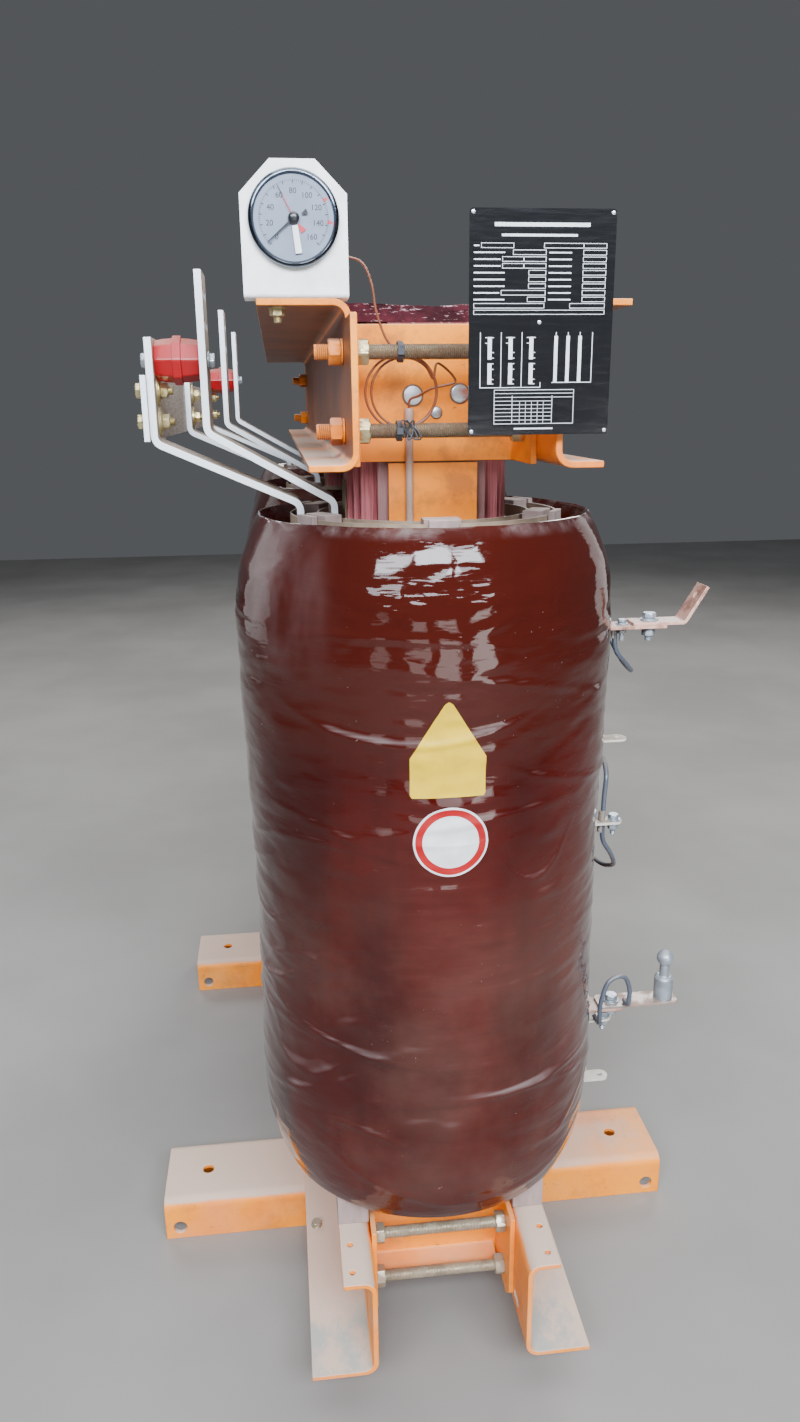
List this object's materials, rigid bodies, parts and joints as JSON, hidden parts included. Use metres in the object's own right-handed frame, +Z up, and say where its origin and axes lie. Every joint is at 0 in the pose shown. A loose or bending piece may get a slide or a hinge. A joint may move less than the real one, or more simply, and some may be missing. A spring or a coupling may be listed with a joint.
{
  "type": "cast resin transformer",
  "caption": "Open cast resin transformer: windings in a row on a clamped laminated core, bars on one side, terminals on the other, on cross feet.",
  "frame": {"origin": "on the floor under the middle leg, at the centre of the four wheel holes", "axes": "+Z up, +Y along the row of windings, +X towards the high voltage side"},
  "size_m": [0.98, 1.864, 1.805],
  "materials": {
    "core_iron": "rough dull paint on laminations",
    "frame_paint": "orange enamel, dusty on top",
    "zinc": "yellow passivated zinc",
    "cast_resin": "glossy cast resin with fine ripples",
    "foil_winding": "resin impregnated foil ends",
    "insulation": "glass fibre sheet",
    "blocks": "pressed board, dusty",
    "bar_aluminium": "satin rolled bar",
    "copper": "dull tinned copper",
    "red_insulator": "moulded red insulator",
    "white_sheet": "pale painted sheet",
    "steel_bright": "bright steel",
    "dial_case": "polished bezel",
    "cable_sheath": "grey cable sheath"
  },
  "bodies": {
    "root": {"core_leg_near": "core_iron", "hv_coil_near": "cast_resin", "lv_winding_near": "foil_winding", "core_leg_middle": "core_iron", "hv_coil_middle": "cast_resin", "lv_winding_middle": "foil_winding", "core_leg_far": "core_iron", "hv_coil_far": "cast_resin", "lv_winding_far": "foil_winding", "upper_yoke": "core_iron", "lower_yoke": "core_iron", "upper_end_brackets": "frame_paint", "lower_end_brackets": "frame_paint", "tie_plates": "frame_paint", "upper_clamp_left": "frame_paint", "upper_clamp_right": "frame_paint", "lower_clamp_left": "frame_paint", "lower_clamp_right": "frame_paint", "foot_near": "frame_paint", "foot_far": "frame_paint", "upper_tie_rods": "zinc", "lower_tie_rods": "zinc", "upper_tie_rod_nuts": "zinc", "lower_tie_rod_nuts": "zinc", "yoke_insulation": "insulation", "leg_edge_boards": "insulation", "insulating_cylinders": "insulation", "support_blocks": "blocks", "spacer_blocks": "blocks", "lv_tall_bars": "bar_aluminium", "lv_short_bars": "bar_aluminium", "star_link": "bar_aluminium", "standoff_insulators": "red_insulator", "hv_main_lugs": "copper", "hv_cable_bars": "copper", "hv_bottom_bars": "copper", "hv_tap_tabs": "steel_bright", "ball_studs": "steel_bright", "sensor_tube": "steel_bright", "gauge_bracket": "white_sheet", "gauge_case": "dial_case", "rating_arm": "steel_bright", "rating_plate": "steel_bright", "hv_link_cables": "cable_sheath", "capillary": "copper"}
  },
  "joints": []
}
